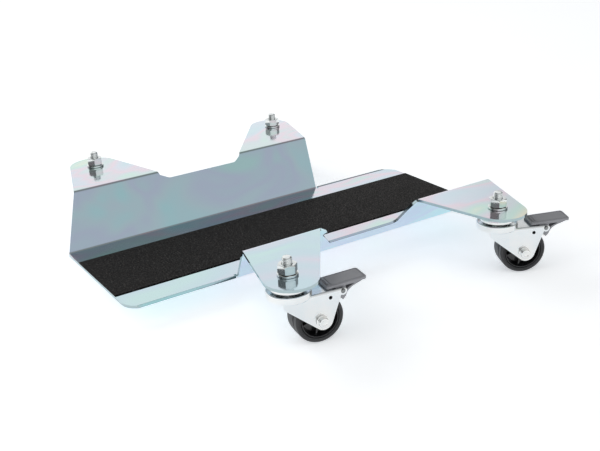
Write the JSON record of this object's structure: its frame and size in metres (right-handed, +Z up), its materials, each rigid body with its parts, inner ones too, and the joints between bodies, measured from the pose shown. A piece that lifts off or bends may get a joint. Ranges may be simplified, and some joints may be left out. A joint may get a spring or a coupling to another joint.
{
  "type": "wheel dolly",
  "caption": "Low flat steel dolly for moving a car sideways by one wheel: folded plate with raised ears on swivel castors, a gritty strip on the bed and foot brakes in front",
  "frame": {"origin": "on the floor under the middle of the bed", "axes": "+X along the bed, +Y to the rear side with the tall plate, +Z up"},
  "size_m": [0.466, 0.5055, 0.09],
  "materials": {
    "zinc_plate": "bright zinc plating, glossy, with a faint colour sheen",
    "grip_tape": "matt gritty anti-slip film",
    "bright_steel": "bright zinc plating, satin",
    "bolt_steel": "plated steel, glossy",
    "tread_rubber": "matt dark rubber with fine grooves",
    "hub_plastic": "black moulded plastic",
    "pedal_plastic": "mid grey moulded plastic, fine texture"
  },
  "bodies": {
    "frame": {"dolly_plate": "zinc_plate", "grip_tape": "grip_tape", "front_left_king_bolt": "bolt_steel", "front_left_washer": "bolt_steel", "front_left_lock_nut": "bolt_steel", "front_left_top_race": "bright_steel", "front_left_king_rivet": "bright_steel", "front_right_king_bolt": "bolt_steel", "front_right_washer": "bolt_steel", "front_right_lock_nut": "bolt_steel", "front_right_top_race": "bright_steel", "front_right_king_rivet": "bright_steel", "rear_left_king_bolt": "bolt_steel", "rear_left_washer": "bolt_steel", "rear_left_lock_nut": "bolt_steel", "rear_left_top_race": "bright_steel", "rear_left_king_rivet": "bright_steel", "rear_right_king_bolt": "bolt_steel", "rear_right_washer": "bolt_steel", "rear_right_lock_nut": "bolt_steel", "rear_right_top_race": "bright_steel", "rear_right_king_rivet": "bright_steel"},
    "front_left_swivel": {"front_left_fork": "bright_steel", "front_left_ball_ring": "bolt_steel", "front_left_axle_bolt": "bright_steel", "front_left_axle_nut": "bright_steel", "front_left_axle_bush": "bolt_steel", "front_left_pedal_pin": "bright_steel"},
    "front_left_wheel": {"front_left_tyre": "tread_rubber", "front_left_hub": "hub_plastic"},
    "front_left_pedal": {"front_left_brake_pedal": "pedal_plastic", "front_left_brake_shoe": "bright_steel"},
    "front_right_swivel": {"front_right_fork": "bright_steel", "front_right_ball_ring": "bolt_steel", "front_right_axle_bolt": "bright_steel", "front_right_axle_nut": "bright_steel", "front_right_axle_bush": "bolt_steel", "front_right_pedal_pin": "bright_steel"},
    "front_right_wheel": {"front_right_tyre": "tread_rubber", "front_right_hub": "hub_plastic"},
    "front_right_pedal": {"front_right_brake_pedal": "pedal_plastic", "front_right_brake_shoe": "bright_steel"},
    "rear_left_swivel": {"rear_left_fork": "bright_steel", "rear_left_ball_ring": "bolt_steel", "rear_left_axle_bolt": "bright_steel", "rear_left_axle_nut": "bright_steel", "rear_left_axle_bush": "bolt_steel"},
    "rear_left_wheel": {"rear_left_tyre": "tread_rubber", "rear_left_hub": "hub_plastic"},
    "rear_right_swivel": {"rear_right_fork": "bright_steel", "rear_right_ball_ring": "bolt_steel", "rear_right_axle_bolt": "bright_steel", "rear_right_axle_nut": "bright_steel", "rear_right_axle_bush": "bolt_steel"},
    "rear_right_wheel": {"rear_right_tyre": "tread_rubber", "rear_right_hub": "hub_plastic"}
  },
  "joints": [
    {"name": "front_left_swivel_turn", "type": "hinge", "parent": "frame", "child": "front_left_swivel", "pos_m": [-0.122, -0.214, 0], "axis": [0, 0, 1], "continuous": true},
    {"name": "front_left_wheel_spin", "type": "hinge", "parent": "front_left_swivel", "child": "front_left_wheel", "pos_m": [-0.09632, -0.21807, 0.025], "axis": [0.1564, 0.9877, 0], "continuous": true},
    {"name": "front_left_pedal_press", "type": "hinge", "parent": "front_left_swivel", "child": "front_left_pedal", "pos_m": [-0.07341, -0.2217, 0.0507], "axis": [0.1564, 0.9877, 0], "range_deg": [0, 12]},
    {"name": "front_right_swivel_turn", "type": "hinge", "parent": "frame", "child": "front_right_swivel", "pos_m": [0.143, -0.214, 0], "axis": [0, 0, 1], "continuous": true},
    {"name": "front_right_wheel_spin", "type": "hinge", "parent": "front_right_swivel", "child": "front_right_wheel", "pos_m": [0.16656, -0.22499, 0.025], "axis": [0.4226, 0.9063, 0], "continuous": true},
    {"name": "front_right_pedal_press", "type": "hinge", "parent": "front_right_swivel", "child": "front_right_pedal", "pos_m": [0.18759, -0.23479, 0.0507], "axis": [0.4226, 0.9063, 0], "range_deg": [0, 12]},
    {"name": "rear_left_swivel_turn", "type": "hinge", "parent": "frame", "child": "rear_left_swivel", "pos_m": [-0.143, 0.214, 0], "axis": [0, 0, 1], "continuous": true},
    {"name": "rear_left_wheel_spin", "type": "hinge", "parent": "rear_left_swivel", "child": "rear_left_wheel", "pos_m": [-0.11777, 0.22029, 0.025], "axis": [-0.2419, 0.9703, 0], "continuous": true},
    {"name": "rear_right_swivel_turn", "type": "hinge", "parent": "frame", "child": "rear_right_swivel", "pos_m": [0.122, 0.214, 0], "axis": [0, 0, 1], "continuous": true},
    {"name": "rear_right_wheel_spin", "type": "hinge", "parent": "rear_right_swivel", "child": "rear_right_wheel", "pos_m": [0.14611, 0.22374, 0.025], "axis": [-0.3746, 0.9272, 0], "continuous": true}
  ]
}
